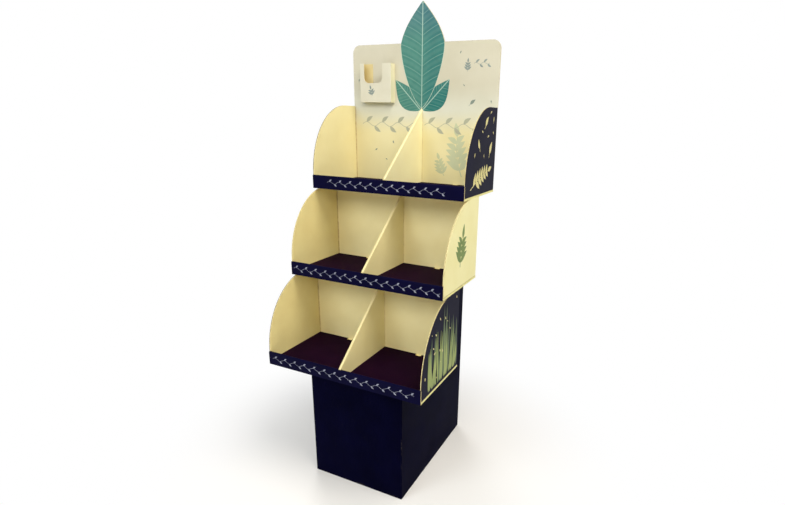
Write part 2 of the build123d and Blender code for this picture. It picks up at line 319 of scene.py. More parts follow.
print("liners", [material.name for material in bpy.data.materials])

# %% [markdown]
# The column wears the same dark ink, but its foot and its upright folds meet shoes and trolleys. There
# the ink thins out a little, so a second noise lets some pale paper through near those lines.

# %% Make the column liner
COLUMN_NAVY, DEEP_NAVY, BARE_PAPER = "030320", "010115", "9c937c"
SCUFF_WIDTH, SCUFF_HEIGHT = 0.004, 0.012
SCUFF_SPOTS, SCUFF_CLOUDS = 160, 18
WHOLE, BROKEN = 0.05, 0.35
FOLD_WEAR, MOST_WEAR = 0.5, 0.3


def column_ink():
    """Dark ink that is scuffed at the foot and along the upright folds."""
    finish = Finish("column_ink")
    half_width = (column_high.x - column_low.x) / 2
    half_depth = (column_high.y - column_low.y) / 2
    middle = (column_low.y + column_high.y) / 2
    at_side = abs(finish.x).ramp(half_width - SCUFF_WIDTH, half_width)
    at_end = abs(finish.y - middle).ramp(half_depth - SCUFF_WIDTH, half_depth)
    at_foot = finish.z.ramp(SCUFF_HEIGHT, 0.0)
    patchy = (finish.noise(SCUFF_SPOTS, detail=4.0) + finish.noise(SCUFF_CLOUDS)).ramp(WHOLE, BROKEN)
    scuffed = (at_side * at_end * FOLD_WEAR + at_foot) * patchy * MOST_WEAR
    colour = finish.mix(scuffed, uneven_ink(finish, COLUMN_NAVY, DEEP_NAVY), paint(BARE_PAPER))
    return board_skin(finish, colour, roughness=0.55, gloss=0.013, run=finish.x + finish.y)


navy_column = column_ink()
print("also", navy_column.name)

# %% [markdown]
# The trays are cream inside, and the sides of the lower two are a little yellower, as painted bounce light.
# A sheet that is creased and bent shows its crease as a thin brown line in the corner, and the brown spreads
# a few millimetres either side as painted shade; a fainter line, partly painted shade, shows where the
# divider is slotted in. Both are masks on the places where the back is near, so each tray needs a cream of
# its own.

# %% Make creams with creases and painted shade
# The yellower cream is painted bounce light on the sides of the lower trays.
BOUNCE_LIT_CREAM, DEEP_BOUNCE_LIT_CREAM = "f6e7a6", "eddb98"
# The crease brown is a crease line with painted shade around it.
CREASE_AND_SHADE_BROWN = "a37d3f"
CREASE = 0.0045
DIVIDER_SHADE = 0.7
CREASE_WEAR, WEAR_SPOTS = 0.45, 60


def crease_and_painted_shade(finish, tray, colour):
    """A colour with a brown crease line and painted corner shade where a tray's sides and its divider meet
    its back.
    """
    inner, top = tray.side - BOARD, tray.foot + TRAY_HEIGHT
    # The mask is a crease line widened by painted shade in the corner, and a fainter painted shade by the
    # divider.
    at_side = abs(finish.x).ramp(inner - CREASE, inner - CREASE / 3)
    at_divider = abs(finish.x).ramp(BOARD + CREASE, BOARD) * DIVIDER_SHADE
    behind = finish.y.ramp(tray.back_face - CREASE, tray.back_face - CREASE / 3)
    below = finish.z.ramp(top, top - CREASE)
    worn = CREASE_WEAR + finish.noise(WEAR_SPOTS)
    return finish.mix((at_side + at_divider) * behind * below * worn, colour, paint(CREASE_AND_SHADE_BROWN))


def cream_wall(tray, panel, ink, deep_ink):
    """The cream liner of one panel of a tray."""
    finish = Finish(f"{tray.name}_{panel}_cream")
    colour = crease_and_painted_shade(finish, tray, uneven_ink(finish, ink, deep_ink))
    return board_skin(finish, colour, SATIN, VARNISH, run=finish.x + finish.y)


back_cream, side_cream_and_bounce = {}, {}
# The lower trays' sides take the yellower cream, which is painted bounce light.
for tray in (low_tray, middle_tray):
    back_cream[tray] = cream_wall(tray, "back", CREAM, DEEP_CREAM)
    side_cream_and_bounce[tray] = cream_wall(tray, "side", BOUNCE_LIT_CREAM, DEEP_BOUNCE_LIT_CREAM)
side_cream_and_bounce[top_tray] = cream_wall(top_tray, "side", CREAM, DEEP_CREAM)
print("creams", [cream.name for cream in (*back_cream.values(), *side_cream_and_bounce.values())])

# %% [markdown]
# The header card is the back of the top tray. It is printed grey at the top and warmer behind the goods, with
# a palest band where the sides of the tray end; that band is partly painted light, which lifts the card where
# the pocket and the divider shade it. So its colour is two mixes by height. Three cards with sharp joints
# would be simpler, but the tones fade from one to the next.

# %% Make the header liner
# The palest tone is partly painted light, where the pocket and the divider shade the card.
HEADER_GREY, HEADER_PALE_PAINTED_LIGHT, HEADER_WARM = ("cfcab4", "c5bfa6"), ("dcdccb", "d3d2be"), ("eae0b0", "e2d7a1")
HEADER_CLOUDS, HEADER_DEPTH = 6, 2.4
WARM_BAND = 0.11
PALE_LOW, PALE_HIGH = -0.02, 0.09


def header_ink():
    """Three tones that fade into each other by height."""
    finish = Finish("header_ink")
    clouds = 0.5 + finish.noise(HEADER_CLOUDS, detail=4.0) * HEADER_DEPTH
    tones = (HEADER_GREY, HEADER_PALE_PAINTED_LIGHT, HEADER_WARM)
    grey, palest_painted_light, warm = [finish.mix(clouds, paint(ink), paint(deep_ink)) for ink, deep_ink in tones]
    # The palest band is partly painted light, lifting the card where the pocket and the divider shade it.
    upper = finish.mix(finish.z.ramp(SIDE_TOP + PALE_LOW, SIDE_TOP + PALE_HIGH), palest_painted_light, grey)
    card = finish.mix(finish.z.ramp(SIDE_TOP - WARM_BAND, SIDE_TOP), warm, upper)
    return board_skin(finish, crease_and_painted_shade(finish, top_tray, card), SATIN, gloss=0.3, run=finish.x)


back_cream[top_tray] = header_ink()
print("header", back_cream[top_tray].name, "fades from", round(SIDE_TOP - WARM_BAND, 3), "m up")

# %% [markdown]
# ## Cut edges
# Where board is cut, its make-up shows: two liners with a waving sheet between them. The wave could be
# modelled, but from a few steps away it is finer than a pixel. Here it is a solid texture: a point
# belongs to the waving sheet if it lies near a sine curve across the board's thickness. Cuts across the
# flutes then show waves and cuts along them show lines, as on real board.

# %% Make a cut edge
LINER = 0.0004
ROLLED = 0.0018
CUT_DEPTH = 0.0005
RAW_PAPERS, RAW_CORE = ("f4ebbb", "e6d99f"), "c9b577"
PAPER_BLOTCHES, CUT_FIBRES = 300, 700
CUT_ROUGHNESS, FIBRE_SHEEN, CUT_GLOSS = 0.8, 0.2, 0.2


def cut_edge(name, measure, thickness=BOARD, walls=1, papers=RAW_PAPERS, core=RAW_CORE, ink=None):
    """Raw edge of fluted board; measure gives a point's place across and along the cut."""
    finish = Finish(name)
    across, along = measure(finish)
    layer = thickness / walls
    depth = finish.math("WRAP", across, layer, 0.0) - layer / 2
    sheet = abs(depth - along.wave(FLUTE) * (layer / 2 - LINER)) < 2 * LINER
    liner = abs(depth) > layer / 2 - LINER
    solid = finish.math("MAXIMUM", sheet, liner)
    tone = finish.mix(0.5 + finish.noise(PAPER_BLOTCHES), *[paint(paper) for paper in papers])
    colour = finish.mix(solid, paint(core), tone)
    if ink:
        colour = finish.mix(across.ramp(thickness - ROLLED, thickness - ROLLED / 2), colour, paint(ink))
    finish.set("Base Color", colour)
    finish.set("Roughness", CUT_ROUGHNESS + finish.noise(CUT_FIBRES) * FIBRE_SHEEN)
    finish.set("Specular IOR Level", CUT_GLOSS)
    finish.bump(solid, CUT_DEPTH)
    return finish.material


print("liners", LINER, "thick, flutes between them", round(BOARD - 2 * LINER, 4))

# %% [markdown]
# The texture only has to know which way a board lies. For each kind of board, a small function gives a
# point's place across the board's thickness and along its cut. A board that is printed on its outside
# also carries a little dark ink over the edge, where the knife rolled it.

# %% Cut the sides, the sleeve and the dividers
ROLLED_INK = "2c2430"


def of_side(inner):
    """A side panel whose inner face lies that far from the middle."""
    return lambda finish: (abs(finish.x) - inner, finish.y)


def of_back(plane):
    """A back wall whose front face lies in that plane."""
    return lambda finish: (finish.y - plane, finish.x)


def of_lip(plane):
    """The end of a lip whose front face lies in that plane."""
    return lambda finish: (finish.y - plane, finish.z)


def of_base(foot):
    """A board that lies flat on that level."""
    return lambda finish: (finish.z - foot, finish.x + finish.y)


def of_divider(finish):
    """A divider, folded double about the middle of its tray."""
    return finish.x + BOARD, finish.y


side_cut = cut_edge("side_cut", of_side(top_tray.side - BOARD))
inked_cut = cut_edge("inked_cut", of_side(top_tray.side - BOARD), ink=ROLLED_INK)
sleeve_cut = cut_edge("sleeve_cut", of_side(column_high.x - BOARD))
double_cut = cut_edge("double_cut", of_divider, 2 * BOARD, walls=2)
print("cut edges", side_cut.name, inked_cut.name, sleeve_cut.name, double_cut.name)

# %% [markdown]
# ## Dressing the boards
# One board wears several finishes: print outside, cream inside, raw paper where it is cut. Each face is
# sorted by where it lies and which way it looks, and takes the matching material slot. One large shader
# could make the same tests, but it would have to carry every finish at once. Which way a face looks is its
# normal's share along an axis, and four limits say how squarely.

# %% Dress the tray shells
NEAR = 0.0006
SQUARELY, PARTLY, SLIGHTLY, BARELY = 0.7, 0.5, 0.3, 0.2


def dress(board, finishes, choose):
    """Gives each face of a board the finish that choose names."""
    mesh = boards[board].data
    mesh.materials.clear()
    names = list(finishes)
    for name in names:
        mesh.materials.append(finishes[name])
    picked = [choose(face.center, face.normal) for face in mesh.polygons]
    for face, name in zip(mesh.polygons, picked):
        face.material_index = names.index(name)
    print(board, {name: picked.count(name) for name in names})


def shell_faces(tray):
    """Sorts the faces of the sheet that makes a tray's sides and back."""

    def choose(spot, facing):
        in_side = abs(spot.x) > tray.side - BOARD - NEAR
        in_back = spot.y > tray.back_face - NEAR
        outward = facing.x * spot.x > 0 and abs(facing.x) > PARTLY
        if facing.z < -SLIGHTLY and spot.z < tray.seat + BOARD:
            return "outside"
        if in_back and spot.z > SIDE_TOP - NEAR and abs(facing.y) < SQUARELY:
            return "back_cut"
        if in_back and facing.z > SQUARELY:
            return "back_cut"
        if in_side and not in_back and abs(facing.x) < PARTLY:
            return "side_cut"
        if in_side and outward:
            return "outside"
        if in_back and facing.y > PARTLY:
            return "rear"
        return "back_wall" if in_back and facing.y < -SQUARELY else "inside"

    return choose


for tray in trays:
    finishes = {
        "outside": pale_side if tray is middle_tray else navy_side,
        "inside": side_cream_and_bounce[tray],
        "back_wall": back_cream[tray],
        "rear": raw_liner,
        "side_cut": side_cut if tray is middle_tray else inked_cut,
        "back_cut": cut_edge(f"{tray.name}_back_cut", of_back(tray.back_face)),
    }
    dress(f"{tray.name}_shell", finishes, shell_faces(tray))

# %% [markdown]
# The shelf is one dark sheet, rolled over at its lip. Under it lies a heavier board of two fluted layers,
# whose pale cut edge draws a line along the foot of each side. The divider is a sheet folded double, so
# its slanted front edge is a fold and not a cut, and there the ink is stretched and rubbed a little duller,
# and darkened further as painted shade. The top divider is paler, as painted light.

# %% Dress the shelves, bases and dividers
LIP_DEPTH = 2.2 * BOARD
YELLOW_PAPERS, YELLOW_CORE = ("fffbc0", "f7f0a4"), "f6ee9c"


def shelf_faces(tray):
    """Sorts the faces of the sheet that makes a tray's floor and lip."""

    def choose(spot, facing):
        if abs(facing.x) > SQUARELY and abs(spot.x) > tray.side - NEAR:
            return "end_cut"
        in_lip = spot.y < tray.front + LIP_DEPTH
        if in_lip and (facing.y < -BARELY or spot.z > tray.floor + NEAR):
            return "lip"
        return "floor" if facing.z > SQUARELY else "under"

    return choose


def base_faces(spot, facing):
    """Sorts the faces of the flat board under a tray."""
    return "sheet" if abs(facing.z) > SQUARELY else "cut"


def divider_faces(spot, facing):
    """Sorts the faces of a sheet that is folded double."""
    if abs(facing.x) > PARTLY:
        return "sheet"
    return "fold" if facing.z > BARELY and facing.y < -BARELY else "cut"


for tray in trays:
    end_cut = cut_edge(f"{tray.name}_end_cut", of_lip(tray.front))
    shelf_finishes = {"lip": navy_lip, "floor": dark_floor, "under": raw_liner, "end_cut": end_cut}
    dress(f"{tray.name}_shelf", shelf_finishes, shelf_faces(tray))
    thick = tray.seat - tray.foot
    edge = of_base(tray.foot)
    base_cut = cut_edge(f"{tray.name}_base_cut", edge, thick, walls=2, papers=YELLOW_PAPERS, core=YELLOW_CORE)
    dress(f"{tray.name}_base", {"sheet": raw_liner, "cut": base_cut}, base_faces)
    # The top divider's paler card is painted light, and the worn fold is partly painted shade.
    card = top_divider_painted_light_card if tray is top_tray else cream_card
    dress(f"{tray.name}_divider", {"sheet": card, "fold": worn_and_shaded_fold, "cut": double_cut}, divider_faces)

# %% [markdown]
# The column shows print outside and plain liner inside. The pocket is thinner card: it is printed on its
# front, cream at its sides, and its tan inner face and glue flange show through the thumb notch.


# %% Dress the column and the pocket
def sleeve_faces(spot, facing):
    """Sorts the faces of the sheet that makes the column's walls."""
    if facing.z > SQUARELY and spot.z > 2 * BOARD:
        return "cut"
    at_side = abs(spot.x) > column_high.x - BOARD + NEAR and facing.x * spot.x > 0
    at_front = spot.y < column_low.y + BOARD - NEAR and facing.y < 0
    at_back = spot.y > column_high.y - BOARD + NEAR and facing.y > 0
    return "print" if at_side or at_front or at_back else "plain"


def pocket_faces(spot, facing):
    """Sorts the faces of the carton that holds leaflets."""
    if spot.y < pocket_low.y + NEAR and facing.y < -PARTLY:
        return "front"
    at_side = spot.x < pocket_low.x + NEAR or spot.x > pocket_high.x - NEAR
    if at_side or spot.z < pocket_low.z + NEAR:
        return "side"
    return "edge" if spot.z > pocket_high.z - NEAR else "inside"


dress("column_sleeve", {"print": navy_column, "plain": raw_liner, "cut": sleeve_cut}, sleeve_faces)
dress("column_steps", {"print": navy_column}, lambda spot, facing: "print")
for board in ("column_rib", "column_brace"):
    dress(board, {"plain": raw_liner}, lambda spot, facing: "plain")
pocket_finishes = {"front": pocket_card, "side": pocket_side, "edge": cream_card, "inside": tan_card}
dress("leaflet_pocket", pocket_finishes, pocket_faces)

# %% [markdown]
# ## Outlines for the print
# The print is made of leaves and stems, all plain flat shapes. A leaf is a straight or bowed spine with a
# swelling either side, and a stem is a line given a width. Each outline is only a list of points on a
# panel, so the same drawing can go on a side, a lip or the header. The named proportions of a fallen leaf
# are shares of its length.

# %% Draw leaves and stems
BLADE_WIDTH, BLADE_BOW = 0.42, 0.06
STALK_OUT, STALK_IN, STALK_WIDTH = 0.3, 0.1, 0.05


def turned(degrees):
    """A step of length 1 in that direction."""
    return Vector((math.cos(math.radians(degrees)), math.sin(math.radians(degrees))))


def leaf(base, tip, width, bow=0.0, steps=12, belly=0.8):
    """Outline of a leaf from base to tip, its spine bowed sideways; a small belly sits low."""
    base = Vector(base)
    along = Vector(tip) - base
    side = Vector((-along.y, along.x)).normalized()
    left, right = [], []
    for step in range(steps + 1):
        share = step / steps
        spine = base + along * share + side * bow * math.sin(math.pi * share)
        swell = side * width / 2 * math.sin(math.pi * share ** belly)
        left.append(spine + swell)
        right.append(spine - swell)
    return left + right[-2:0:-1]


def stem(points, width):
    """Outline of a line through the points."""
    points = [Vector(point) for point in points]
    left, right = [], []
    for at, point in enumerate(points):
        run = (points[min(at + 1, len(points) - 1)] - points[max(at - 1, 0)]).normalized()
        side = Vector((-run.y, run.x)) * width / 2
        left.append(point + side)
        right.append(point - side)
    return left + right[::-1]


def fallen_leaf(spot, turn, length):
    """One leaf with a short stalk, turned by that many degrees."""
    spot = Vector(spot)
    run = turned(turn) * length
    blade = leaf(spot, spot + run, length * BLADE_WIDTH, length * BLADE_BOW, steps=10)
    return [blade, stem([spot - run * STALK_OUT, spot + run * STALK_IN], length * STALK_WIDTH)]


print("a leaf has", len(leaf((0, 0), (0, 1), 0.3)), "points")

# %% [markdown]
# Two larger drawings are put together from these. A frond is a bowed stem with pairs of leaves that get
# shorter towards its end. A vine waves along a line and carries a leaf on each bend, so it can fill a
# long strip such as a lip. Their proportions are shares of the length and width of one leaf.

# %% Draw fronds and vines
SPINE_STEPS, SPINE_WIDTH = 12, 0.16
END_LENGTH, END_WIDTH = 0.8, 0.9
LOWEST_PAIR = 1 / 6
PAIR_RISE, PAIR_SPREAD = 0.62, 0.78
SHORTEN, NARROW = 0.4, 0.25
CURL = 0.15
BEND_STEPS = 8
BEND_RUN, BEND_RISE = 0.8, 0.6


def frond(foot, top, pairs, length, width, bow=0.0):
    """A bowed stem with pairs of leaves that shorten towards one leaf at its end."""
    foot, top = Vector(foot), Vector(top)
    run = (top - foot).normalized()
    side = Vector((-run.y, run.x))

    def spine(share):
        return foot + (top - foot) * share + side * bow * math.sin(math.pi * share)

    outlines = [stem([spine(step / SPINE_STEPS) for step in range(SPINE_STEPS + 1)], width * SPINE_WIDTH)]
    outlines.append(leaf(top, top + run * length * END_LENGTH, width * END_WIDTH))
    for pair in range(pairs):
        share = pair / pairs
        joint = spine(LOWEST_PAIR + (1 - LOWEST_PAIR) * share)
        for hand in (-1, 1):
            reach = (run * PAIR_RISE + side * hand * PAIR_SPREAD) * length * (1 - SHORTEN * share)
            outlines.append(leaf(joint, joint + reach, width * (1 - NARROW * share), -hand * width * CURL))
    return outlines


def vine(start, end, level, sway, bends, length, width, line):
    """A waving stem from start to end with a leaf on each bend."""
    pitch = (end - start) / bends
    points = []
    for step in range(bends * BEND_STEPS + 1):
        wave = math.sin(math.pi * step / BEND_STEPS)
        points.append((start + pitch * step / BEND_STEPS, level + sway * wave))
    outlines = [stem(points, line)]
    for bend in range(bends):
        hand = 1 if bend % 2 == 0 else -1
        crest = Vector((start + pitch * (bend + 0.5), level + sway * hand))
        tip = crest + Vector((BEND_RUN, BEND_RISE * hand)) * length
        outlines.append(leaf(crest, tip, width, hand * width * CURL))
    return outlines


print("a frond of 3 pairs has", len(frond((0, 0), (0, 1), 3, 0.5, 0.2)), "shapes")

# %% [markdown]
# ## Laying print on board
# Ink has almost no thickness, but a shape drawn exactly in the board's face would flicker against it.
# Each outline becomes a closed inlay that stands a tenth of a millimetre proud and reaches as far into
# the board. Shapes that overlap are lifted a hair above each other, for the same reason. An inlay takes a
# liner finish of its own colour, so the washboard runs on through the print.

# %% Lay outlines on panels
PROUD = 0.00012
STACK, LAYERS = 0.00002, 9


def facing_front(plane):
    """A panel that faces the front; lift comes out of it."""
    return lambda u, v, lift: Vector((u, plane - lift, v))


def facing_side(plane, hand):
    """A panel on the left or right side of the stand."""
    return lambda u, v, lift: Vector((hand * (plane + lift), u, v))


def lay(name, outlines, panels, finish, proud=PROUD):
    """Closed inlays of the outlines on one or more panels, as one piece."""
    mesh = bmesh.new()
    for panel in panels:
        for layer, outline in enumerate(outlines):
            lift = proud + STACK * (layer % LAYERS)
            top = [mesh.verts.new(panel(u, v, lift)) for u, v in outline]
            low = [mesh.verts.new(panel(u, v, -PROUD)) for u, v in outline]
            mesh.faces.new(top)
            mesh.faces.new(low)
            for at in range(len(top)):
                mesh.faces.new((top[at - 1], top[at], low[at], low[at - 1]))
    bmesh.ops.recalc_face_normals(mesh, faces=mesh.faces)
    data = bpy.data.meshes.new(name)
    mesh.to_mesh(data)
    mesh.free()
    data.materials.append(finish)
    piece = bpy.data.objects.new(name, data)
    bpy.context.scene.collection.objects.link(piece)
    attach(piece, "root")
    print(name, "shapes", len(outlines) * len(panels))


header_panel = facing_front(top_tray.back_face)
side_panels = [facing_side(top_tray.side, hand) for hand in (-1, 1)]
print("ink stands", PROUD, "proud")

# %% [markdown]
# ## The leaves on the topper
# The top of the header is die-cut to a pointed leaf, and the print fills it: a broad leaf with a smaller
# one on each side of its stalk. The veins are part of the ink. They are chevrons across the leaf, worked
# out from how far a point lies along and beside the spine. The left half is painted lit and the right half
# in painted shade, deepest near the stalk, and the tip is a little bluer.

# %% Mix the leaf ink
LIT_TEAL, SHADED_TEAL = ("448173", "377568"), ("2e756c", "23665e")
# The stalk teal is painted deeper shade near the stalk.
STALK_SHADE_TEAL, TIP_BLUE, VEIN_PALE = "0a6862", "355b6f", "b4cfbd"
LEAF_BLOTCHES, BLOTCH_DEPTH = 45, 1.6
HALF_START, HALF_END, HALF_SWAY, HALF_CLOUDS = -0.02, 0.04, 0.02, 30
STALK_HIGH, STALK_LOW, STALK_SHADE_SHARE = SIDE_TOP + 0.11, SIDE_TOP + 0.01, 0.8
TIP_LOW, TIP_HIGH, TIP_SHARE = SIDE_TOP + 0.20, SIDE_TOP + 0.34, 0.5
VEIN_SWEEP, VEIN_CURVE = 0.7, 2.5
VEIN_EDGE, VEIN_SHARE = 0.93, 0.22
FURROW_EDGE, FURROW_SHARE = 0.2, 0.05
RIB_EDGE, RIB_HEART, RIB_SHARE = 0.0024, 0.0008, 0.75


def leaf_tone(finish):
    """Teal, painted lit on the left and in shade on the right, deepest near the stalk, with a bluer tip."""
    blotch = 0.5 + finish.noise(LEAF_BLOTCHES, detail=4.0) * BLOTCH_DEPTH
    # The lit and shaded teals are painted light and painted shade on the flat card.
    lit, shaded = [finish.mix(blotch, paint(ink), paint(deep)) for ink, deep in (LIT_TEAL, SHADED_TEAL)]
    deepest_shade = finish.mix(finish.z.ramp(STALK_HIGH, STALK_LOW) * STALK_SHADE_SHARE, shaded, paint(STALK_SHADE_TEAL))
    right_half = (finish.x + finish.noise(HALF_CLOUDS) * HALF_SWAY).ramp(HALF_START, HALF_END)
    at_tip = finish.z.ramp(TIP_LOW, TIP_HIGH) * TIP_SHARE
    return finish.mix(at_tip, finish.mix(right_half, lit, deepest_shade), paint(TIP_BLUE))


def leaf_ink(name, base, tip, vein_pitch):
    """Teal ink with veins, mirrored about the middle of the header."""
    finish = Finish(name)
    run = (tip - base).normalized()
    out = abs(finish.x) - base.x
    rise = finish.z - base.y
    along = out * run.x + rise * run.y
    beside = abs(out * run.y - rise * run.x)
    chevron = (along - beside * VEIN_SWEEP + beside * beside * VEIN_CURVE).wave(vein_pitch)
    vein = chevron.ramp(VEIN_EDGE, 1.0) * VEIN_SHARE + chevron.ramp(FURROW_EDGE, -1.0) * FURROW_SHARE
    rib = beside.ramp(RIB_EDGE, RIB_HEART) * RIB_SHARE
    veined = finish.mix(finish.math("MAXIMUM", vein, rib), leaf_tone(finish), paint(VEIN_PALE))
    return board_skin(finish, veined, roughness=0.45, gloss=0.3, run=finish.x)


print("a leaf's middle rib is", 2 * RIB_EDGE, "wide")

# %% [markdown]
# The upper outline of the broad leaf is read off the board itself, so that print and cut agree. Below the
# header's top edge, two Bezier curves close it down to the stalk.

# %% Draw the broad leaf
TOUCH = 0.0001
TOPPER_REACH = 0.11
LEAF_BASE = Vector((0.0, SIDE_TOP - 0.004))
LEAF_INSET = 0.0008
FLANK_PULL, FLANK_TUCK = Vector((0, -0.070)), Vector((0.045, 0.030))
FLANK_STEPS = 20


def topper_edge():
    """The die-cut edge above the header card, from left to right."""
    edge = set()
    for vertex in boards["tray_3_shell"].data.vertices:
        spot = vertex.co
        on_front = abs(spot.y - top_tray.back_face) < TOUCH
        if on_front and abs(spot.x) < TOPPER_REACH and spot.z > SIDE_TOP + TOPPER_REACH:
            edge.add((spot.x, spot.z))
    return [Vector(point) for point in sorted(edge)]


def flank(corner, hand):
    """A curve from a corner of the topper down to the leaf's base."""
    pull = corner + FLANK_PULL
    tuck = LEAF_BASE + FLANK_TUCK * Vector((hand, 1))
    points = []
    for step in range(1, FLANK_STEPS):
        t = step / FLANK_STEPS
        s = 1 - t
        points.append(corner * s ** 3 + pull * 3 * s * s * t + tuck * 3 * s * t * t + LEAF_BASE * t ** 3)
    return points


def broad_leaf(spread):
    """The topper's edge, drawn in a little, and flanks that are moved out by spread."""
    edge = topper_edge()
    heart = Vector((0, edge[0].y))
    crown = [point + (heart - point).normalized() * LEAF_INSET for point in edge]
    flanks = [flank(edge[-1], 1), flank(edge[0], -1)[::-1]]
    right, left = [[point + (point - heart).normalized() * spread for point in side] for side in flanks]
    return crown + right + [LEAF_BASE] + left


blade = broad_leaf(0.0)
blade_tip = max(blade, key=lambda point: point.y)
print("leaf outline", len(blade), "points, tip at", round(blade_tip.y, 4))

# %% [markdown]
# The three leaves are laid in order, the side leaves first and the broad leaf over them. A pale line is left
# round its flanks, as printers do where two shapes of one colour meet. It is the same outline once more,
# spread a little and laid between them.

# %% Print the topper leaves
KEY_LINE = 0.0022
SIDE_LEAF_ROOT = LEAF_BASE + Vector((0.004, -0.008))
SIDE_LEAF_TIP = Vector((0.112, SIDE_TOP + 0.096))
SIDE_LEAF_WIDTH, SIDE_LEAF_BOW = 0.076, -0.010

side_leaves = []
for hand in (-1, 1):
    mirror = Vector((hand, 1))
    root, tip = SIDE_LEAF_ROOT * mirror, SIDE_LEAF_TIP * mirror
    side_leaves.append(leaf(root, tip, SIDE_LEAF_WIDTH, hand * SIDE_LEAF_BOW, steps=24))
side_leaf_ink = leaf_ink("side_leaf_ink", SIDE_LEAF_ROOT, SIDE_LEAF_TIP, vein_pitch=0.026)
lay("topper_side_leaves", side_leaves, [header_panel], side_leaf_ink)

key_line = printed("key_line", "c3d3bf", "b4c6b0")
lay("topper_key_line", [broad_leaf(KEY_LINE)], [header_panel], key_line, 2 * PROUD)

broad_leaf_ink = leaf_ink("broad_leaf_ink", LEAF_BASE, blade_tip, vein_pitch=0.034)
lay("topper_broad_leaf", [blade], [header_panel], broad_leaf_ink, 3 * PROUD)

# %% [markdown]
# ## Print on the header card
# Under the leaf runs a thin vine across the card, with a small sprig in the upper right corner, pale
# fronds behind the right bay and a few drifting leaves. They are kept light and thin, because they only
# frame the goods. The vine stops short of the middle, where the divider's tabs go through the card.

# %% Print the vine, the corner sprig and the fronds
VINE_END, DIVIDER_CLEAR = 0.262, 0.012
vine_level = SIDE_TOP - 0.066
vine_ink = printed("vine_ink", "b3b39c", "a1a389")
runs = []
for start, end in ((-VINE_END, -DIVIDER_CLEAR), (DIVIDER_CLEAR, VINE_END)):
    runs += vine(start, end, vine_level, sway=0.008, bends=7, length=0.036, width=0.014, line=0.0018)
lay("header_vine", runs, [header_panel], vine_ink)

corner_ink = printed("corner_ink", "8f9a93", "7a867f")
corner = frond((0.180, SIDE_TOP + 0.120), (0.181, SIDE_TOP + 0.150), pairs=3, length=0.018, width=0.007)
corner += vine(0.204, 0.262, SIDE_TOP + 0.146, sway=0.003, bends=4, length=0.017, width=0.007, line=0.001)
lay("header_corner_sprig", corner, [header_panel], corner_ink)

shade_ink = printed("shade_ink", "c9cca8", "bbc29c")
soil = top_tray.foot + 0.045
shade = frond((0.172, soil), (0.150, soil + 0.145), pairs=5, length=0.064, width=0.024, bow=0.010)
shade += frond((0.236, soil), (0.250, soil + 0.075), pairs=4, length=0.038, width=0.015, bow=-0.005)
shade += frond((0.100, soil), (0.078, soil + 0.060), pairs=4, length=0.034, width=0.013, bow=0.005)
lay("header_leaf_shadow", shade, [header_panel], shade_ink)

# %% Print the drifting leaves
drifting = (
    # place across the card, height above the side panels, turn in degrees, length
    (0.196, 0.010, 40, 0.026),
    (0.276, 0.016, 100, 0.010),
    (0.172, 0.072, 130, 0.009),
    (0.150, 0.180, 60, 0.010),
    (-0.276, 0.090, 70, 0.012),
    (-0.205, -0.166, 30, 0.012),
    (-0.120, -0.136, 110, 0.011),
    (-0.150, -0.200, 150, 0.009),
)
petals = []
for across, rise, turn, length in drifting:
    petals += fallen_leaf((across, SIDE_TOP + rise), turn, length)
petal_ink = printed("petal_ink", "8d9a8c", "6f7d72")
lay("header_petals", petals, [header_panel], petal_ink)

# %% [markdown]
# The leaflet pocket carries one more small sprig on its front, printed on its own carton.

# %% Print the pocket
pocket_middle = (pocket_low.x + pocket_high.x) / 2
pocket_foot = Vector((pocket_middle - 0.014, pocket_low.z + 0.024))
pocket_top = pocket_foot + Vector((-0.006, 0.022))
pocket_sprig = frond(pocket_foot, pocket_top, pairs=2, length=0.020, width=0.008)
lay("pocket_sprig", pocket_sprig, [facing_front(pocket_low.y)], corner_ink)

# %% [markdown]
# ## Print on the lips
# Each lip has a fine running border, a vine that waves along the fold. Its ink is a pale grey, because on
# so dark a ground even a thin line reads from far away.

# %% Print the lip borders
BORDER_PITCH = 0.021
border_ink = printed("border_ink", "a3a6b4", "868a9c", roughness=0.5, gloss=0.1)
for tray, start, end in ((low_tray, -0.284, 0.277), (middle_tray, -0.290, 0.290), (top_tray, -0.237, 0.232)):
    level = (tray.foot + tray.lip_top) / 2
    bends = round((end - start) / BORDER_PITCH)
    border = vine(start, end, level, sway=0.0042, bends=bends, length=0.0125, width=0.005, line=0.0009)
    lay(f"{tray.name}_lip_border", border, [facing_front(tray.front)], border_ink)

# %% [markdown]
# ## Print on the sides
# Each side has its own picture: falling leaves on the top tray, one sprig on the pale middle tray and tall
# reeds on the lowest. Shapes on the sides have to stay inside the curved front edge, which is a quarter of
# an ellipse, so a small test measures that. Both sides get the same print, mirrored.

# %% Keep print inside a side panel
FLAT_TOP = 0.073
FOLD_ROOM = 0.010
MARGIN = 0.006


def on_side(tray, u, v, margin):
    """True where a point lies on a side panel, that far from its edges."""
    across, rise = u - tray.front, v - tray.foot
    depth, lip = tray.back - tray.front, tray.lip_top - tray.foot
    rim = depth - FLAT_TOP
    if across > depth - margin or rise < FOLD_ROOM + margin or rise > TRAY_HEIGHT - margin:
        return False
    if across > rim or rise < lip:
        return across > BOARD + margin
    reach, climb = rim - BOARD - margin, TRAY_HEIGHT - lip - margin
    return ((rim - across) / reach) ** 2 + ((rise - lip) / climb) ** 2 < 1


def keep(tray, outlines, margin=MARGIN):
    """The outlines that lie wholly on a side panel."""
    return [outline for outline in outlines if all(on_side(tray, u, v, margin) for u, v in outline)]


print("sides", round(low_tray.back - low_tray.front, 3), "deep, flat on top for", FLAT_TOP)

